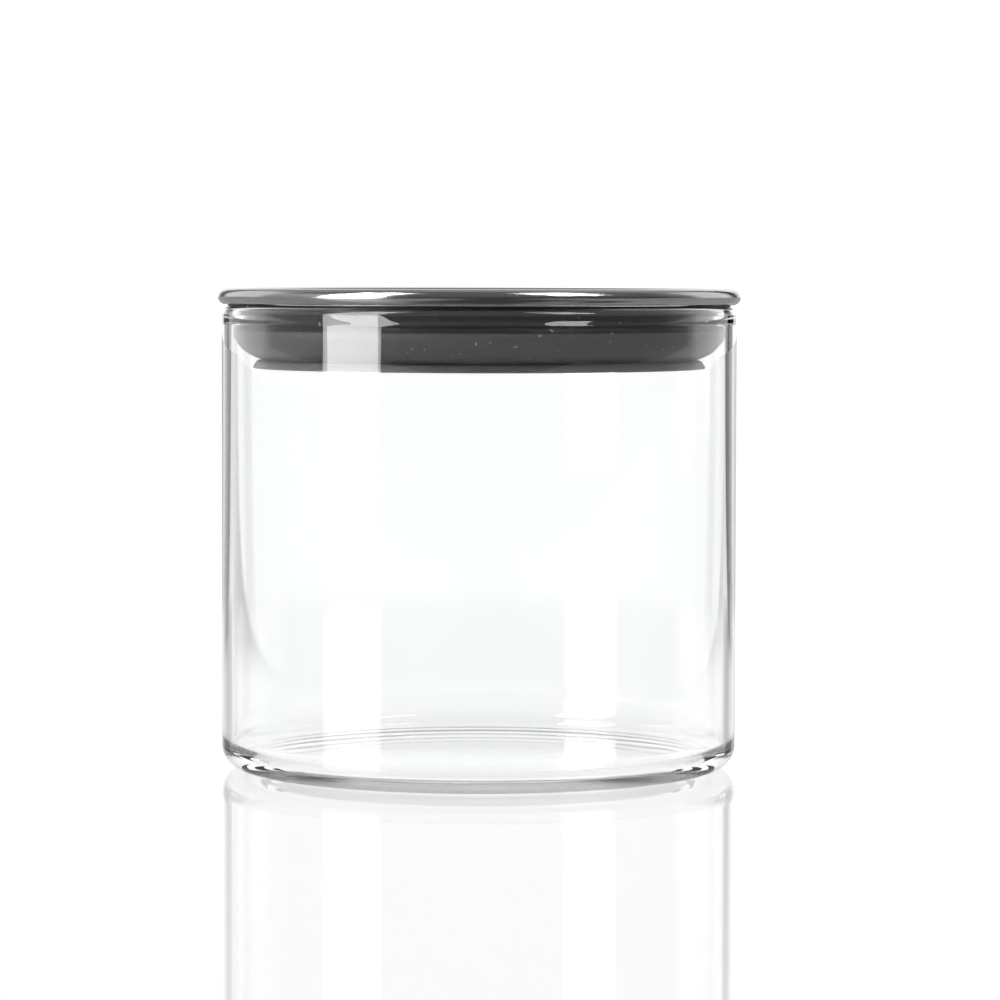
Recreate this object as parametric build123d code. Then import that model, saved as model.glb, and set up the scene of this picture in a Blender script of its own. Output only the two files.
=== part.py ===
from build123d import *
import os
from math import acos, cos, degrees, radians, sin, tan

# Lidded glass storage canister, in millimetres.
# A straight-sided glass jar is closed by a press-in lid: a flat steel cap is rolled round the top flange of
# a plastic plug, and a silicone ring in the plug's groove grips the inside of the jar.
# Every piece is turned about +Z. The origin is the centre of the base, on the surface that the jar stands on.

# ---- Glass jar
JAR_RADIUS = 50.0
JAR_HEIGHT = 89.6
JAR_WALL = 2.1
JAR_FLOOR = 3.0                # height of the inside floor above the table
HEEL_RADIUS = 4.6              # outer corner between the wall and the base
INSIDE_CORNER_RADIUS = 3.2
FOOT_INNER_RADIUS = 37.0       # the jar stands on the flat ring outside this radius
PUSH_UP = 0.5                  # rise of the base's centre off the table
BEAD_BULGE = 0.5               # how far the fire-polished rim swells into the mouth
BEAD_LEAN = 16.0               # degrees that the rim's inner face leans out on its way down to the wall
BEAD_BLEND_RADIUS = 2.0        # rounding where that face meets the wall

# ---- Steel cap
CAP_OVERHANG = 0.8             # how far the rolled edge stands out past the glass
CAP_THICKNESS = 3.2            # height of the rolled edge
CAP_SHEET = 0.6
CAP_RECESS = 0.8               # the top is sunk inside the rolled edge, for the foot of a stacked jar
CAP_RECESS_FILLET = 1.2
CAP_LIP = 1.8                  # flat lip that is turned in under the plug's flange

# ---- Plastic plug
PLUG_DROP = 11.9               # from the glass rim down to the plug's underside
PLUG_FOOT_THICKNESS = 1.5      # lower flange, which holds the ring up
PLUG_FOOT_INSET = 3.7          # from the glass wall in to the lower flange's widest edge
PLUG_FOOT_DRAFT = 1.0          # how much narrower the lower flange is at its top
PLUG_FOOT_TOP_ROUND = 0.7
PLUG_FOOT_EDGE_ROUND = 0.25
PLUG_WALL = 2.0
PLUG_FLOOR = 1.8
PLUG_INSIDE_ROUND = 1.5

# ---- Silicone ring
RING_WIDTH = 7.35              # from the plug's groove out to the grip band
RING_NECK_WALL = 2.2           # the ring is hollow-backed behind this wall, so that it can flex
RING_GRIP_DROP = 5.5           # from the glass rim down to the grip band's lower edge
RING_GRIP_HEIGHT = 0.8
RING_SHOULDER_RADIUS = 1.5     # rounding from the grip band in to the ring's neck
RING_CUSHION = 0.35            # thin skirt between the glass rim and the cap
RING_CUSHION_INSET = 1.2       # from the outside of the glass in to the skirt's edge

# ---- Clearances
RING_GAP = 0.05                # the ring to the glass, at the wall and at the rim
LIP_GAP = 0.1                  # the ring's shoulder to the cap's turned-in lip
FLANGE_GAP = 0.1               # the plug's top flange to where the rolled edge starts to curve

# ---- Derived sizes
jar_inside_radius = JAR_RADIUS - JAR_WALL
mouth_radius = jar_inside_radius - BEAD_BULGE
bead_round = (JAR_RADIUS - mouth_radius) / 2

cap_underside = JAR_HEIGHT + RING_GAP + RING_CUSHION
cap_top = cap_underside + CAP_THICKNESS
cap_radius = JAR_RADIUS + CAP_OVERHANG
roll_radius = CAP_THICKNESS / 2
roll_centre_radius = cap_radius - roll_radius
cap_lip_inner_radius = roll_centre_radius - CAP_LIP

ring_radius = jar_inside_radius - RING_GAP
groove_radius = ring_radius - RING_WIDTH
plug_underside = JAR_HEIGHT - PLUG_DROP
plug_foot_top = plug_underside + PLUG_FOOT_THICKNESS
plug_foot_radius = jar_inside_radius - PLUG_FOOT_INSET
flange_underside = cap_underside + CAP_SHEET
flange_top = cap_top - CAP_RECESS - CAP_SHEET
flange_radius = roll_centre_radius - FLANGE_GAP


def turned(*outline):
    """Solid of revolution about +Z, from a closed outline in (radius, height)."""
    return revolve(Plane.XZ * make_face(outline), Axis.Z)


def glass_jar():
    """One blown piece: a domed base, a round heel, a straight wall and a fire-polished rim."""
    dome = TangentArc((0, PUSH_UP), (FOOT_INNER_RADIUS, 0), tangent=(1, 0))
    foot = Line((FOOT_INNER_RADIUS, 0), (JAR_RADIUS - HEEL_RADIUS, 0))
    heel = JernArc(foot @ 1, (1, 0), HEEL_RADIUS, 90)
    outer_wall = Line(heel @ 1, (JAR_RADIUS, JAR_HEIGHT - bead_round))
    # The rim rounds over by more than a half turn. Its inner face then leans straight out to the wall.
    rim = JernArc(outer_wall @ 1, (0, 1), bead_round, 180 + BEAD_LEAN)
    blend_radius = jar_inside_radius - BEAD_BLEND_RADIUS * (1 - cos(radians(BEAD_LEAN)))
    blend_height = (rim @ 1).Y - (blend_radius - (rim @ 1).X) / tan(radians(BEAD_LEAN))
    lean = Line(rim @ 1, (blend_radius, blend_height))
    blend = JernArc(lean @ 1, lean % 1, BEAD_BLEND_RADIUS, -BEAD_LEAN)
    inner_wall = Line(blend @ 1, (jar_inside_radius, JAR_FLOOR + INSIDE_CORNER_RADIUS))
    corner = JernArc(inner_wall @ 1, (0, -1), INSIDE_CORNER_RADIUS, -90)
    floor = Line(corner @ 1, (0, JAR_FLOOR))
    axis = Line((0, JAR_FLOOR), (0, PUSH_UP))
    return turned(dome, foot, heel, outer_wall, rim, lean, blend, inner_wall, corner, floor, axis)


def cap_surface(depth):
    """One face of the cap's sheet, from the axis out and round the roll to the lip, this deep in the metal."""
    crest_radius = roll_radius - depth
    dip_radius = CAP_RECESS_FILLET + depth
    # The sheet climbs from the sunk top to the crest in two tangent arcs.
    climb = degrees(acos(1 - CAP_RECESS / (roll_radius + CAP_RECESS_FILLET)))
    climb_start = roll_centre_radius - (roll_radius + CAP_RECESS_FILLET) * sin(radians(climb))

    top = Line((0, cap_top - CAP_RECESS - depth), (climb_start, cap_top - CAP_RECESS - depth))
    dip = JernArc(top @ 1, (1, 0), dip_radius, climb)
    roll = JernArc(dip @ 1, dip % 1, crest_radius, -(climb + 180))
    lip = Line(roll @ 1, (cap_lip_inner_radius, cap_underside + depth))
    return [top, dip, roll, lip]


def steel_cap():
    """Pressed disc whose edge is raised, rolled over full round and turned in under the plug's flange."""
    outside = cap_surface(0)
    inside = cap_surface(CAP_SHEET)
    lip_end = Line(outside[-1] @ 1, inside[-1] @ 1)
    axis = Line(outside[0] @ 0, inside[0] @ 0)
    return turned(*outside, lip_end, *inside, axis)


def plug_body():
    """Moulded cup: the top flange sits inside the cap's roll, and the foot flange closes the ring's groove."""
    foot_top_radius = plug_foot_radius - PLUG_FOOT_DRAFT
    well_radius = groove_radius - PLUG_WALL
    well_floor = plug_underside + PLUG_FLOOR
    section = make_face(
        Polyline(
            (0, plug_underside),
            (plug_foot_radius, plug_underside),
            (foot_top_radius, plug_foot_top),
            (groove_radius, plug_foot_top),
            (groove_radius, flange_underside),
            (flange_radius, flange_underside),
            (flange_radius, flange_top),
            (well_radius, flange_top),
            (well_radius, well_floor),
            (0, well_floor),
            close=True,
        )
    )
    rounds = [
        ((plug_foot_radius, plug_underside), PLUG_FOOT_EDGE_ROUND),
        ((foot_top_radius, plug_foot_top), PLUG_FOOT_TOP_ROUND),
        ((well_radius, well_floor), PLUG_INSIDE_ROUND),
    ]
    for corner, radius in rounds:
        section = fillet(section.vertices().sort_by_distance(corner)[0], radius)
    return revolve(Plane.XZ * section, Axis.Z)


def seal_ring():
    """Bulb-shaped ring: a round underside, a narrow grip band, a shoulder, a neck and a thin top skirt.

    Its back is relieved, so that the bulb can fold in past the glass rim when the lid is pulled.
    """
    grip_low = JAR_HEIGHT - RING_GRIP_DROP
    grip_high = grip_low + RING_GRIP_HEIGHT
    neck_radius = ring_radius - RING_SHOULDER_RADIUS
    skirt_radius = JAR_RADIUS - RING_CUSHION_INSET
    skirt_low = cap_underside - RING_CUSHION
    shoulder_radius = cap_lip_inner_radius - LIP_GAP

    underside = TangentArc((groove_radius, plug_foot_top), (ring_radius, grip_low), tangent=(1, 0))
    grip = Line(underside @ 1, (ring_radius, grip_high))
    shoulder = JernArc(grip @ 1, (0, 1), RING_SHOULDER_RADIUS, 90)
    upper = Polyline(
        (neck_radius, grip_high + RING_SHOULDER_RADIUS),
        (neck_radius, skirt_low),
        (skirt_radius, skirt_low),
        (skirt_radius, cap_underside),
        (shoulder_radius, cap_underside),
        (shoulder_radius, flange_underside),
        (groove_radius, flange_underside),
        (groove_radius, plug_foot_top),
    )
    ring = turned(underside, grip, shoulder, upper)

    relief_radius = neck_radius - RING_NECK_WALL
    relief_low = plug_foot_top + RING_NECK_WALL
    relief_high = flange_underside - RING_NECK_WALL
    relief_floor = TangentArc((groove_radius, relief_low), (relief_radius, grip_low), tangent=(1, 0))
    relief_sides = Polyline(
        (relief_radius, grip_low),
        (relief_radius, relief_high),
        (groove_radius, relief_high),
        (groove_radius, relief_low),
    )
    return ring - turned(relief_floor, relief_sides)


pieces = {
    "glass_jar": glass_jar(),
    "steel_cap": steel_cap(),
    "plug_body": plug_body(),
    "seal_ring": seal_ring(),
}

os.makedirs("parts", exist_ok=True)
for name, piece in pieces.items():
    piece.label = name
    export_step(piece, f"parts/{name}.step")
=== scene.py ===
# %% [markdown]
# # A lidded glass canister
#
# A straight-sided jar of clear borosilicate glass, closed by a press-in lid. The lid is a brushed steel cap rolled
# round the top of a dark plastic plug, and a soft silicone ring in the plug's groove grips the glass.
#
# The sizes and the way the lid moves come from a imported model, the frame. It is loaded first and never changed.
# Every piece made here is turned on the same axis as the frame's own, in metres, and rides on one of its bodies.

# %% Load the frame
from math import acos, atan2, ceil, cos, degrees, pi, radians, sin, tan

import bmesh
import bpy
from mathutils import Matrix, Vector


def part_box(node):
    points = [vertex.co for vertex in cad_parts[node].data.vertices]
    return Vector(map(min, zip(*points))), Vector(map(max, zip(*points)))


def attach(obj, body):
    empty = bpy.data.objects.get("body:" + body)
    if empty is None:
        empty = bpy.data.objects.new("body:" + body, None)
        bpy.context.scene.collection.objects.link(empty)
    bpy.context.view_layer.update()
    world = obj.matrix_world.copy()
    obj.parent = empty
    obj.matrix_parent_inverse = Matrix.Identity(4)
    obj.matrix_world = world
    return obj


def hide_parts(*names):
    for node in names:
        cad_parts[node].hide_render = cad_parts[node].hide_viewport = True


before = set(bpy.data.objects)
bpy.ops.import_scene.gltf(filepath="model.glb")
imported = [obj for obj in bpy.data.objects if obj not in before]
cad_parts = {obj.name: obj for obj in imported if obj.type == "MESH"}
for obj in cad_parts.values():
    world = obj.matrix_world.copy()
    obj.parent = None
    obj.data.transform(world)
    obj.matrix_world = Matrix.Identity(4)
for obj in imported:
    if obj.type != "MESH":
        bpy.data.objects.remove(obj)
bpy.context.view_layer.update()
jar_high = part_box("glass_jar")[1]
cap_low, cap_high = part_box("steel_cap")
plug_low, plug_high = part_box("plug_body")
ring_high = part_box("seal_ring")[1]
print("jar", round(jar_high.x * 2000, 2), "mm across,", round(cap_high.z * 1000, 2), "mm tall with its lid")

# %% [markdown]
# ## Drawing a turned piece
#
# All four pieces are round, so each is one half section spun about the axis. Typing the section's points by hand
# would hide what they mean, so a small pen walks along the section instead, as a lathe tool would: it goes straight
# to a point, or bends by some degrees on a radius. Positive bends go to the left. Both steps are bmesh operators, an
# extruded vertex and a spun one, so the pen never works out a list of points.
#
# A corner that only needs its sharpness taken off is named as the pen passes it. It is beveled just before the spin.
# A vertex bevel is measured along the edges, so a rounding of radius r at a corner that turns by an angle a starts
# r * tan(a / 2) before it.

# %% A pen for half sections
MM = 0.001
BEND_STEP = 6.0        # degrees of a bend to each edge
CORNER_EDGES = 6       # edges round a softened corner
SIDES = 240            # faces round the axis
SHARP_EDGE = 35.0      # degrees between two faces, from which their edge looks sharp
SAME_POINT = 1e-7


def level_arc(run, rise):
    """Radius and turn, in degrees, of an arc that starts level and climbs or falls by rise over a run."""
    return (run ** 2 + rise ** 2) / (2 * rise), 2 * degrees(atan2(rise, run))


class Pen:
    """Walks round a half section, in radius and height, and leaves a chain of edges in a bmesh."""

    def __init__(self, radius, height):
        self.mesh = bmesh.new()
        self.tip = bmesh.ops.create_vert(self.mesh, co=(radius, 0, height))["vert"][0]
        self.heading = Vector((1, 0))
        self.corners = []

    def to(self, radius, height, soften=0.0):
        """Straight to a point, which may be a corner to soften by a radius."""
        step = Vector((radius - self.tip.co.x, height - self.tip.co.z))
        if step.length > SAME_POINT:
            self.heading = step.normalized()
            self.tip = bmesh.ops.extrude_vert_indiv(self.mesh, verts=[self.tip])["verts"][0]
            self.tip.co = (radius, 0, height)
        if soften:
            self.corners.append((self.tip, soften))
        return self

    def aim(self, angle):
        """Turns on the spot, to this many degrees from straight out."""
        self.heading = Vector((cos(radians(angle)), sin(radians(angle))))
        return self

    def bend(self, radius, turn, finer=1):
        """Round an arc that starts straight on: to the left if turn, in degrees, is positive.

        finer times as many edges go round it as BEND_STEP alone would give.
        """
        left = Vector((-self.heading.y, self.heading.x))
        centre = Vector((self.tip.co.x, self.tip.co.z)) + left * (radius if turn > 0 else -radius)
        steps = max(2, ceil(abs(turn) / BEND_STEP * finer))
        swept = bmesh.ops.spin(
            self.mesh, geom=[self.tip], cent=(centre.x, 0, centre.y), axis=(0, -1, 0), dvec=(0, 0, 0),
            angle=radians(turn), steps=steps, use_merge=False, use_duplicate=False,
        )
        self.tip = [part for part in swept["geom_last"] if isinstance(part, bmesh.types.BMVert)][0]
        self.heading.rotate(Matrix.Rotation(radians(turn), 2))
        return self

    def soften_corners(self):
        """Bevels the named corners. The angle that a corner turns by comes from its two edges."""
        for corner, radius in self.corners:
            before, after = [(edge.other_vert(corner).co - corner.co) for edge in corner.link_edges]
            turn = pi - before.angle(after)
            bmesh.ops.bevel(
                self.mesh, geom=[corner], offset=radius * tan(turn / 2), offset_type="OFFSET", affect="VERTICES",
                segments=CORNER_EDGES, profile=0.5, material=-1,
            )

    def turned(self, name, body):
        """Spins the section full circle into a closed piece that rides on a body."""
        self.soften_corners()
        mesh = self.mesh
        bmesh.ops.spin(
            mesh, geom=mesh.verts[:] + mesh.edges[:], cent=(0, 0, 0), axis=(0, 0, 1), dvec=(0, 0, 0),
            angle=2 * pi, steps=SIDES, use_merge=True, use_duplicate=False,
        )
        bmesh.ops.remove_doubles(mesh, verts=mesh.verts, dist=SAME_POINT)
        bmesh.ops.recalc_face_normals(mesh, faces=mesh.faces)
        for face in mesh.faces:
            face.smooth = True
        for edge in mesh.edges:
            edge.smooth = edge.calc_face_angle(0) < radians(SHARP_EDGE)
        data = bpy.data.meshes.new(name)
        mesh.to_mesh(data)
        loose = sum(not edge.is_manifold for edge in mesh.edges)
        print(name, len(data.polygons), "faces,", loose, "open edges,", round(mesh.calc_volume() * 1e6, 2), "cm3")
        mesh.free()
        piece = bpy.data.objects.new(name, data)
        bpy.context.scene.collection.objects.link(piece)
        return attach(piece, body)


# %% [markdown]
# ## Writing a finish as sums
#
# A finish is a net of small nodes, and most of them only add or multiply. A socket is wrapped so that Python's own
# signs build those nodes: `0.3 + 0.1 * grain` makes a multiply and an add. Every other node comes from one method.

# %% A socket that does sums
class Signal:
    """A number that varies over a surface: the output of a node."""

    def __init__(self, finish, socket):
        self.finish = finish
        self.socket = socket

    def sum(self, operation, *terms):
        """A Math node on some terms, each of them a signal or a plain number."""
        return self.finish.node("Math", {"operation": operation}, dict(enumerate(terms)))[0]

    def __add__(self, other):
        return self.sum("ADD", self, other)

    def __sub__(self, other):
        return self.sum("SUBTRACT", self, other)

    def __rsub__(self, other):
        return self.sum("SUBTRACT", other, self)

    def __mul__(self, other):
        return self.sum("MULTIPLY", self, other)

    def __pow__(self, other):
        return self.sum("POWER", self, other)

    def __abs__(self):
        return self.sum("ABSOLUTE", self)

    __radd__ = __add__
    __rmul__ = __mul__

    def angle_from(self, other):
        """The angle, in degrees, whose tangent is this signal over the other."""
        return self.sum("ARCTAN2", self, other) * (180 / pi)

    def ramp(self, low, high):
        """0 up to low, 1 from high on, and a smooth step between."""
        ends = {"Value": self, "From Min": low, "From Max": high}
        return self.finish.node("MapRange", {"interpolation_type": "SMOOTHSTEP"}, ends)[0]

    def between(self, low, high, edge):
        """1 between two values and 0 outside them, with edges this soft."""
        return self.ramp(low, low + edge) * (1 - self.ramp(high - edge, high))


# %% The nodes of one finish
CAMERA_RAY, GLOSSY_RAY, REFLECTION_RAY = 0, 3, 5        # outputs of the Light Path node


class Finish:
    """The nodes of one material or of the world."""

    def __init__(self, tree):
        self.tree = tree
        tree.nodes.clear()

    def node(self, kind, settings=None, inputs=None):
        """Adds a node and returns its outputs as signals. Settings come first, because they change the sockets."""
        made = self.tree.nodes.new("ShaderNode" + kind)
        for name, value in (settings or {}).items():
            setattr(made, name, value)
        for name, value in (inputs or {}).items():
            if isinstance(value, Signal):
                self.tree.links.new(value.socket, made.inputs[name])
            else:
                made.inputs[name].default_value = value
        return [Signal(self, socket) for socket in made.outputs]

    def place(self, scale=(1, 1, 1), shift=(0, 0, 0)):
        """Where a point is on the object, in metres, with each direction stretched and moved."""
        position = self.node("TexCoord")[3]
        return self.node("Mapping", None, {"Vector": position, "Scale": scale, "Location": shift})[0]

    def across_and_up(self):
        """The same place as three signals: x, y and z."""
        return self.node("SeparateXYZ", None, {"Vector": self.place()})

    def noise(self, vector, scale, detail=2.0, roughness=0.5):
        """Soft random blotches, this many to a metre, from 0 to 1."""
        inputs = {"Vector": vector, "Scale": scale, "Detail": detail, "Roughness": roughness}
        return self.node("TexNoise", None, inputs)[0]

    def bump(self, height, depth):
        """Tilts the surface as if height, from 0 to 1, rose this many metres."""
        return self.node("Bump", None, {"Height": height, "Distance": depth})[0]

    def blend(self, share, first, second):
        """A colour between two others."""
        return self.node("Mix", {"data_type": "RGBA"}, {0: share, 6: first, 7: second})[2]

    def layer(self, share, under, over):
        """One shader over another, where share is 1."""
        return self.node("MixShader", None, {0: share, 1: under, 2: over})[0]

    def mirrored(self):
        """1 for a ray that comes straight off a mirror-like surface, and 0 for one that came through glass."""
        kinds = self.node("LightPath")
        return kinds[GLOSSY_RAY] * kinds[REFLECTION_RAY]

    def seen_directly(self):
        """1 for a ray that comes straight from the camera, with nothing between."""
        return self.node("LightPath")[CAMERA_RAY]

    def principled(self, inputs):
        """The one shader that every piece's finish ends in."""
        shade = self.node("BsdfPrincipled", None, inputs)[0]
        self.node("OutputMaterial", None, {"Surface": shade})


# %% Starting a finish and giving it to a piece
def grey(value):
    """A grey with the slightest lean to blue, as on a moulded or rolled surface."""
    return (value, value, value * 1.02, 1)


def new_finish(name):
    """A material and its empty net of nodes."""
    material = bpy.data.materials.new(name)
    material.use_nodes = True
    return material, Finish(material.node_tree)


def finish_piece(piece, node, slot, material):
    """The piece stands for a node of the frame, which is hidden, and takes the finish made for one of the record's
    slots; the slot is only named in the print.
    """
    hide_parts(node)
    piece.data.materials.append(material)
    print(piece.name, "stands for", node, "in", slot, "with", len(material.node_tree.nodes), "nodes")


# %% [markdown]
# ## The glass jar
#
# The jar is one piece of glass with two walls, an inner and an outer, and what makes it look like glass is how they
# bend the light at its thick places: the rounded heel, the floor and the rim. A glass shader on a thin single shell
# can't show that. So the section goes round both walls: out under the shallow dome of the base, round the heel,
# up the outside, over the fire-polished rim, and down the inside to the floor.
#
# The rim swells into the mouth. Its inner face leans back out to the wall on a straight slope, which is what catches
# the lamp as one clean bar.

# %% Sizes of the jar
jar_radius = jar_high.x
jar_height = jar_high.z
wall = 2.1 * MM
floor_height = 3.0 * MM
heel = 4.6 * MM
inside_corner = 3.2 * MM
foot_inner = 37.0 * MM
push_up = 0.5 * MM
bead_bulge = 0.5 * MM
bead_lean = 16.0        # degrees
bead_blend = 2.0 * MM

inside_radius = jar_radius - wall
mouth_radius = inside_radius - bead_bulge
bead_round = (jar_radius - mouth_radius) / 2
dome_arc, dome_turn = level_arc(foot_inner, push_up)
print("mouth", round(mouth_radius * 2000, 1), "mm, dome on a radius of", round(dome_arc, 2), "m")

# %% The jar's section and its spin
DOME_FINER = 60        # the dome turns by under two degrees, so it needs far more edges than its turn gives

jar_pen = Pen(0, push_up).bend(dome_arc, -dome_turn, finer=DOME_FINER)
jar_pen.to(jar_radius - heel, 0).bend(heel, 90, finer=1.5)
jar_pen.to(jar_radius, jar_height - bead_round).bend(bead_round, 180 + bead_lean, finer=1.5)
blend_radius = inside_radius - bead_blend * (1 - cos(radians(bead_lean)))
blend_height = jar_pen.tip.co.z - (blend_radius - jar_pen.tip.co.x) / tan(radians(bead_lean))
jar_pen.to(blend_radius, blend_height).bend(bead_blend, -bead_lean, finer=2)
jar_pen.to(inside_radius, floor_height + inside_corner).bend(inside_corner, -90, finer=1.5).to(0, floor_height)
jar = jar_pen.turned("glass_jar_turned", "jar")

# %% [markdown]
# ## Clear glass
#
# Borosilicate glass bends light a little less than window glass, by an index of 1.47, and is almost without colour.
# Three faults make it real. Drawn glass has faint long waves up its wall, which a noise stretched along the axis gives
# as a slight tilt of the surface. A jar that has been handled has patches that are not quite as clean. And the middle
# of the inside floor is taken to be a little rougher than the rest. Perfectly smooth, the floor and the base mirror
# each other over and over and draw a set of sharp rings.

# %% Clear glass
GLASS_INDEX = 1.47
PRESSED_EDGE = (34 * MM, 38 * MM)        # the rough middle of the floor fades out between these radii

glass, look = new_finish("clear_glass")
drawn = look.noise(look.place((1, 1, 0.06)), 110, detail=1)
smudge = look.noise(look.place(), 45, detail=3).ramp(0.55, 0.80)
x, y, z = look.across_and_up()
at_floor = 1 - z.ramp(floor_height + 0.1 * MM, floor_height + 0.5 * MM)
in_middle = 1 - (x * x + y * y).ramp(PRESSED_EDGE[0] ** 2, PRESSED_EDGE[1] ** 2)
pressed = at_floor * in_middle
look.principled({
    "Base Color": (0.988, 0.994, 0.993, 1),
    "Roughness": 0.025 * smudge + 0.085 * pressed,
    "IOR": GLASS_INDEX,
    "Transmission Weight": 1.0,
    "Normal": look.bump(drawn, 0.02 * MM),
})
finish_piece(jar, "glass_jar", "clear_glass", glass)

# %% [markdown]
# ## The steel cap
#
# The cap is one pressed sheet. Its flat top is sunk a little, and its edge is raised, rolled over full round and
# turned in flat under the plug's flange. A beveled disc would have the outline but no rolled edge, and a torus round
# a disc would leave a seam. So the pen draws both faces of the sheet and the spin closes them into real metal.

# %% The cap's section and its spin
sheet = 0.6 * MM
recess = 0.8 * MM
dip = 1.2 * MM
cap_lip = 1.8 * MM
roll = (cap_high.z - cap_low.z) / 2
roll_centre = cap_high.x - roll
lip_radius = roll_centre - cap_lip
climb = degrees(acos(1 - recess / (roll + dip)))
climb_start = roll_centre - (roll + dip) * sin(radians(climb))
top = cap_high.z - recess

cap_pen = Pen(0, top).to(climb_start, top).bend(dip, climb).bend(roll, -(climb + 180), finer=1.5)
cap_pen.to(lip_radius, cap_low.z).to(lip_radius, cap_low.z + sheet).to(roll_centre, cap_low.z + sheet)
cap_pen.bend(roll - sheet, climb + 180).bend(dip + sheet, -climb).to(0, top - sheet)
cap = cap_pen.turned("steel_cap_turned", "lid")

# %% [markdown]
# ## Brushed steel
#
# Brushing leaves fine parallel scratches, so the grain is a noise that is stretched over a hundred times along one
# way. On the flat top it is taken to run straight across, as if the sheet was brushed before it was pressed. On the
# rolled edge it runs round, as if polished on a spindle, so there the noise is laid out by the angle round the axis
# and the distance from it. The grain changes the colour and the roughness a little and tilts the surface.

# %% Brushed steel
SCRATCHES = 5000        # to a metre, across the grain
ALONG_SCRATCH = 30      # to a metre, along it
ROUND_SCRATCH = 0.25    # to a degree, along it on the rolled edge

steel, look = new_finish("brushed_steel")
x, y, z = look.across_and_up()
out = (x * x + y * y) ** 0.5
straight = look.noise(look.place((ALONG_SCRATCH, SCRATCHES, ALONG_SCRATCH)), 1, detail=3, roughness=0.7)
round_way = {0: x.angle_from(0 - y) * ROUND_SCRATCH, 1: z * SCRATCHES, 2: out * SCRATCHES}
round_grain = look.noise(look.node("CombineXYZ", None, round_way)[0], 1, detail=3, roughness=0.7)
on_roll = out.ramp(climb_start, climb_start + 1.5 * MM)
grain = straight * (1 - on_roll) + round_grain * on_roll
look.principled({
    "Base Color": look.blend(grain, grey(0.33), grey(0.50)),
    "Metallic": 1.0,
    "Roughness": 0.07 + 0.11 * grain,
    "Normal": look.bump(grain, 0.02 * MM),
})
finish_piece(cap, "steel_cap", "brushed_steel", steel)

# %% [markdown]
# ## The plug
#
# The plug is a moulded cup that the steel hides from above. Through the glass only its lowest flange shows, under the
# ring: a thin dark lip that narrows upwards. Its corners have the small rounds that a mould leaves, and those are
# what draw the fine line of light along its edge. They are softened corners of the pen.

# %% The plug's section and its spin
foot_thickness = 1.5 * MM
foot_inset = 3.7 * MM
foot_draft = 1.0 * MM
ring_width = 7.35 * MM
ring_gap = 0.05 * MM
plug_wall = 2.0 * MM
plug_floor = 1.8 * MM
ring_out = inside_radius - ring_gap
groove = ring_out - ring_width
well = groove - plug_wall
plug_foot = inside_radius - foot_inset
foot_top = plug_low.z + foot_thickness
flange_low = cap_low.z + sheet

plug_pen = Pen(0, plug_low.z).to(plug_foot, plug_low.z, soften=0.25 * MM)
plug_pen.to(plug_foot - foot_draft, foot_top, soften=0.7 * MM).to(groove, foot_top).to(groove, flange_low)
plug_pen.to(plug_high.x, flange_low).to(plug_high.x, plug_high.z).to(well, plug_high.z)
plug_pen.to(well, plug_low.z + plug_floor, soften=1.5 * MM).to(0, plug_low.z + plug_floor)
plug = plug_pen.turned("plug_body_turned", "lid")

# %% [markdown]
# ## Dark plastic
#
# A fine spark-eroded mould gives a satin skin: tiny pores, two or three to the millimetre, that spread the highlight.
# The pores go into the roughness and the bump. A slow cloud in the colour keeps the black from looking like paint.

# %% Dark plastic
plastic, look = new_finish("plug_plastic")
pores = look.noise(look.place(), 2500, detail=2)
cloud = look.noise(look.place(), 60, detail=3)
look.principled({
    "Base Color": look.blend(cloud, grey(0.090), grey(0.110)),
    "Roughness": 0.34 + 0.12 * pores,
    "Specular IOR Level": 0.35,
    "Normal": look.bump(pores, 0.015 * MM),
})
finish_piece(plug, "plug_body", "plug_plastic", plastic)

# %% [markdown]
# ## The sealing ring
#
# The ring swells out from the plug's foot in one long curve to a narrow band that touches the glass, rounds over a
# shoulder, and runs up a neck to the cap, where a thin skirt keeps steel and glass apart. Its back is hollow, so that
# the bulb can fold in when the lid is pulled. A torus squashed into place would have the wrong curve under the band,
# and that curve is the shape that shows. So it is drawn whole, hollow included.

# %% The ring's section and its spin
grip_drop = 5.5 * MM
grip_height = 0.8 * MM
shoulder = 1.5 * MM
cushion = 0.35 * MM
neck_wall = 2.2 * MM
lip_gap = 0.1 * MM
grip_low = jar_height - grip_drop
grip_high = grip_low + grip_height
neck = ring_out - shoulder
hollow_back = neck - neck_wall
hollow_low = foot_top + neck_wall
hollow_high = flange_low - neck_wall
under_arc, under_turn = level_arc(ring_width, grip_low - foot_top)
hollow_arc, hollow_turn = level_arc(hollow_back - groove, grip_low - hollow_low)

ring_pen = Pen(groove, foot_top).bend(under_arc, under_turn, finer=2).to(ring_out, grip_high).bend(shoulder, 90)
ring_pen.to(neck, cap_low.z - cushion).to(ring_high.x, cap_low.z - cushion).to(ring_high.x, cap_low.z)
ring_pen.to(lip_radius - lip_gap, cap_low.z).to(lip_radius - lip_gap, ring_high.z).to(groove, ring_high.z)
ring_pen.to(groove, hollow_high).to(hollow_back, hollow_high).to(hollow_back, grip_low)
ring_pen.aim(180 + hollow_turn).bend(hollow_arc, -hollow_turn).to(groove, foot_top)
ring = ring_pen.turned("seal_ring_turned", "lid")

# %% [markdown]
# ## Silicone
#
# Silicone is matte and draws dust. From the grip band up the ring looks darker than the bulb below it, so the colour
# steps there. That step is painted shade: the silicone is one colour all through, and the darker band stands in for
# how it looks pressed against the glass with no air between, under the cap. A few specks of pale lint sit on it: the
# rare peaks of a fine noise.

# %% Silicone
LINT_SHIFT = (0.031, 0.007, 0.013)        # metres that the noise is moved, to choose where its peaks fall

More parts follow.
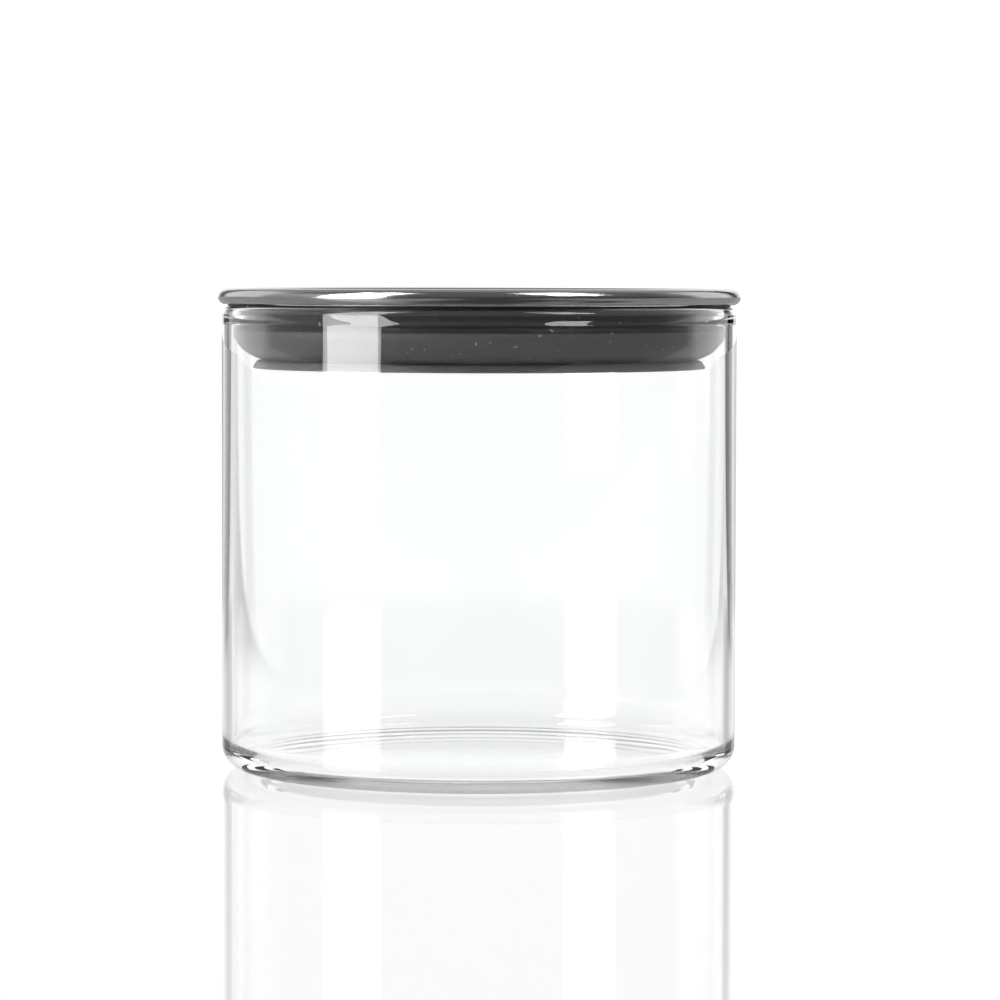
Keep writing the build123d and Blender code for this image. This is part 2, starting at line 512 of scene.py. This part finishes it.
silicone, look = new_finish("seal_silicone")
pores = look.noise(look.place(), 1800, detail=2)
lint = look.noise(look.place(shift=LINT_SHIFT), 1300, detail=0).ramp(0.80, 0.84)
# painted shade: the colour turns much darker from the grip band up, where the ring presses on the glass under the cap
painted_contact_shade = look.across_and_up()[2].ramp(grip_high, grip_high + 0.3 * MM)
silicone_with_painted_shade = look.blend(painted_contact_shade, grey(0.085), grey(0.010))
look.principled({
    "Base Color": look.blend(lint, silicone_with_painted_shade, grey(0.25)),
    "Roughness": 0.42 + 0.12 * pores,
    "Specular IOR Level": 0.18,
    "Normal": look.bump(pores, 0.01 * MM),
})
finish_piece(ring, "seal_ring", "seal_silicone", silicone)

# %% [markdown]
# ## Two black cards
#
# Clear glass shows its shape by its dark edges, and those are bent images of something dark. So two black cards stand
# behind the jar, one to each side, just outside the view. They are not pieces. Each is a share of darkness over a few
# degrees of the compass, counted from straight in front. The table and the wall both take it, so that the dark doesn't
# stop where they meet. From an angle that looks towards a card, it shows through the glass as a grey patch.

# %% Two black cards
CARD_EDGE = 2        # degrees over which a card's edge is soft


def dark_cards(right):
    """How much the black cards darken a direction: right is its angle, in degrees, round from the front."""
    left = 0 - right
    return 0.85 * left.between(148, 163, CARD_EDGE) + right.between(145, 159, CARD_EDGE)


# %% [markdown]
# ## The table
#
# Glass is shown on a sheet of white acrylic with light under it, so that nothing throws a shadow and the foot still
# mirrors faintly. A lamp under a real sheet would take long to render, so the sheet glows by itself under a clear
# gloss. The gloss fades out at arm's length, where it would only mirror the room.
#
# A real sheet is as bright in a mirror as it is to the eye. This one isn't: it glows less for rays that come off a
# mirror-like surface, and least in a patch in front of the jar and far out. A lit white table all round would drown
# the steel's rolled edge, which has nothing to show but what it mirrors. It is a trick for the front view.

# %% The sheet of the table
TABLE_REACH = 6.0        # metres from the middle to an edge

table_mesh = bmesh.new()
bmesh.ops.create_grid(table_mesh, x_segments=1, y_segments=1, size=TABLE_REACH)
table_data = bpy.data.meshes.new("table")
table_mesh.to_mesh(table_data)
table_mesh.free()
table = bpy.data.objects.new("table", table_data)
bpy.context.scene.collection.objects.link(table)
print("table", 2 * TABLE_REACH, "m wide")

# %% Where the sheet changes
acrylic, look = new_finish("table_acrylic")
x, y = look.across_and_up()[:2]
forward = 0 - y
out_squared = x * x + y * y


def beyond(near, far):
    """0 inside one circle round the jar and 1 outside a larger one, in metres."""
    return out_squared.ramp(near ** 2, far ** 2)


away = beyond(0.30, 0.45)
behind_jar = beyond(0.15, 0.30)
near_dark = x.between(-0.10, 0.20, 0.08) * forward.between(0.050, 0.80, 0.012)
far_dark = forward.ramp(0.5, 0.8) * (1 - near_dark)
carded = dark_cards(x.angle_from(forward)) * behind_jar * (1 - look.seen_directly())


# %% The light of the sheet
SHEET_GLOW = 0.93        # near the jar, under the gloss
OPEN_GLOW = 1.04         # further out, without it
CARD_GLOW = 0.08         # under the black cards
MIRROR_GLOW = 0.45       # to a mirror-like surface
MIRROR_NEAR_GLOW = 0.08  # and in the patch in front of the jar
MIRROR_FAR_GLOW = 0.11   # and far out in front
GLOSS_SHARE = 0.7


def glowing(strength):
    """The light that the sheet itself sends up."""
    return look.node("Emission", None, {"Strength": strength})[0]


gloss = look.node("BsdfGlossy", None, {"Color": (1, 1, 1, 1), "Roughness": 0.04})[0]
fresnel = look.node("Fresnel", None, {"IOR": 1.5})[0]
lit = look.layer(away, glowing(SHEET_GLOW), glowing(OPEN_GLOW))
patch = look.layer(near_dark, glowing(MIRROR_GLOW), glowing(MIRROR_NEAR_GLOW))
in_front = look.layer(far_dark, patch, glowing(MIRROR_FAR_GLOW))
glow = look.layer(look.mirrored(), look.layer(carded, lit, glowing(CARD_GLOW)), in_front)
surface = look.layer(fresnel * GLOSS_SHARE * (1 - away), glow, gloss)
look.node("OutputMaterial", None, {"Surface": surface})
table.data.materials.append(acrylic)
print("the table's finish has", len(acrylic.node_tree.nodes), "nodes")

# %% [markdown]
# ## The studio round it
#
# Clear glass has no look of its own. A bright wall stands behind it, with the black cards before it, and the front of
# the studio is dim. All of that is a brightness by compass direction, so it is written into the world: straight behind
# is 180 degrees, and left and right are counted from the front. What the camera sees with nothing between is plain
# white.
#
# As with the table, rays that come off a mirror-like surface meet a darker room than those that come through glass,
# above all in front and overhead, with a lighter left side. That gives the steel and the front of the glass their
# dark parts. It is a trick for the front view too, and it has a price: seen from behind, the steel's flat top mirrors
# that dark front and looks much darker than real steel.

# %% The studio round it
WHITE = 1.18
FRONT_LIGHT = 0.32
CEILING_LIGHT = 0.80
MIRROR_FRONT_LOSS = 0.25        # how much darker the front is to a mirror-like surface
MIRROR_CEILING_LOSS = 0.60      # and the ceiling
MIRROR_BACK_GAIN = 0.30         # and how much of that comes back behind the jar

world = bpy.data.worlds.new("studio")
bpy.context.scene.world = world
world.use_nodes = True
look = Finish(world.node_tree)
x, y, z = look.node("SeparateXYZ", None, {"Vector": look.node("TexCoord")[0]})
right = x.angle_from(0 - y)
left = 0 - right
mirrored = look.mirrored()
seen_directly = look.seen_directly()

back_wall = abs(right).ramp(106, 114)
left_side = 0.45 * left.ramp(68, 80)
right_side = 0.15 * right.ramp(85, 100)
higher_up = 0.12 * z.ramp(0.12, 0.35)
front = FRONT_LIGHT + mirrored * (left_side + right_side + higher_up - MIRROR_FRONT_LOSS)
level = front * (1 - back_wall) + WHITE * back_wall
level = level * (1 - dark_cards(right))
ceiling = z.ramp(0.5, 0.7)
ceiling_light = CEILING_LIGHT - mirrored * (MIRROR_CEILING_LOSS - MIRROR_BACK_GAIN * back_wall)
level = level * (1 - ceiling) + ceiling_light * ceiling
level = level * (1 - seen_directly) + WHITE * seen_directly
shade = look.node("Background", None, {"Color": (1, 1, 1, 1), "Strength": level})[0]
look.node("OutputWorld", None, {"Surface": shade})
print("studio", len(world.node_tree.nodes), "nodes")


# %% [markdown]
# ## Two softboxes
#
# A tall softbox stands to the left and a small one hangs high on the right. Each shows twice: as a soft streak on the
# steel and as a clean bar in the glass. A flat lamp gives both with straight edges. Its power is worked out from how
# bright its face should look, so that its size can change without changing that.

# %% Two softboxes
def softbox(name, centre, aim, width, height, brightness):
    """A flat lamp that faces aim, as bright all over as brightness."""
    data = bpy.data.lights.new(name, "AREA")
    data.shape = "RECTANGLE"
    data.size = width
    data.size_y = height
    data.energy = brightness * pi * width * height
    lamp = bpy.data.objects.new(name, data)
    lamp.location = centre
    lamp.rotation_euler = (Vector(aim) - Vector(centre)).to_track_quat("-Z", "Y").to_euler()
    bpy.context.scene.collection.objects.link(lamp)
    print(name, round(data.energy, 2), "W")


SOFTBOX_LIGHT = 9.0
TALL_HEIGHT = 1.8
tall_way = radians(-57.4)        # round from the front, to the left, a metre from the jar's axis

tall_centre = (sin(tall_way), -cos(tall_way), TALL_HEIGHT / 2)
softbox("tall_softbox", tall_centre, (0, 0, TALL_HEIGHT / 2), 0.486, TALL_HEIGHT, SOFTBOX_LIGHT)
softbox("high_softbox", (0.503, -0.476, 0.854), (0.02, -0.045, 0.09), 0.32, 0.60, SOFTBOX_LIGHT)

# %% [markdown]
# ## The camera
#
# The camera stands less than a metre away and hardly above the lid, so the cap shows edge on and the base shows as a
# shallow oval. Its lens is long for so near a piece, which keeps the walls upright. The white has to stay white, so
# the plain view transform is used. The light goes through many layers of glass, so it is let bounce more than usual:
# with the usual limit the thick base turns black.

# %% The camera
camera_data = bpy.data.cameras.new("camera")
camera = bpy.data.objects.new("camera", camera_data)
bpy.context.scene.collection.objects.link(camera)
bpy.context.scene.camera = camera
camera_data.sensor_width = 36        # millimetres, as is the lens
camera_data.lens = 151.6
camera_data.clip_end = 20            # metres, past the table's far edge
camera.location = (0, -0.820, 0.0965)
look_down = radians(3.108)
lean = radians(-0.126)
look_left = radians(0.2864)
view_turn = Matrix.Rotation(-look_left, 4, "Z") @ Matrix.Rotation(pi / 2 - look_down, 4, "X")
camera.rotation_mode = "QUATERNION"
camera.rotation_quaternion = (view_turn @ Matrix.Rotation(-lean, 4, "Z")).to_quaternion()

GLASS_BOUNCES = 32
GLOSS_BOUNCES = 24

scene = bpy.context.scene
scene.view_settings.view_transform = "Standard"
scene.cycles.max_bounces = GLASS_BOUNCES
scene.cycles.glossy_bounces = GLOSS_BOUNCES
scene.cycles.transmission_bounces = GLASS_BOUNCES
print("camera", round(camera.location.length, 3), "m from the base")
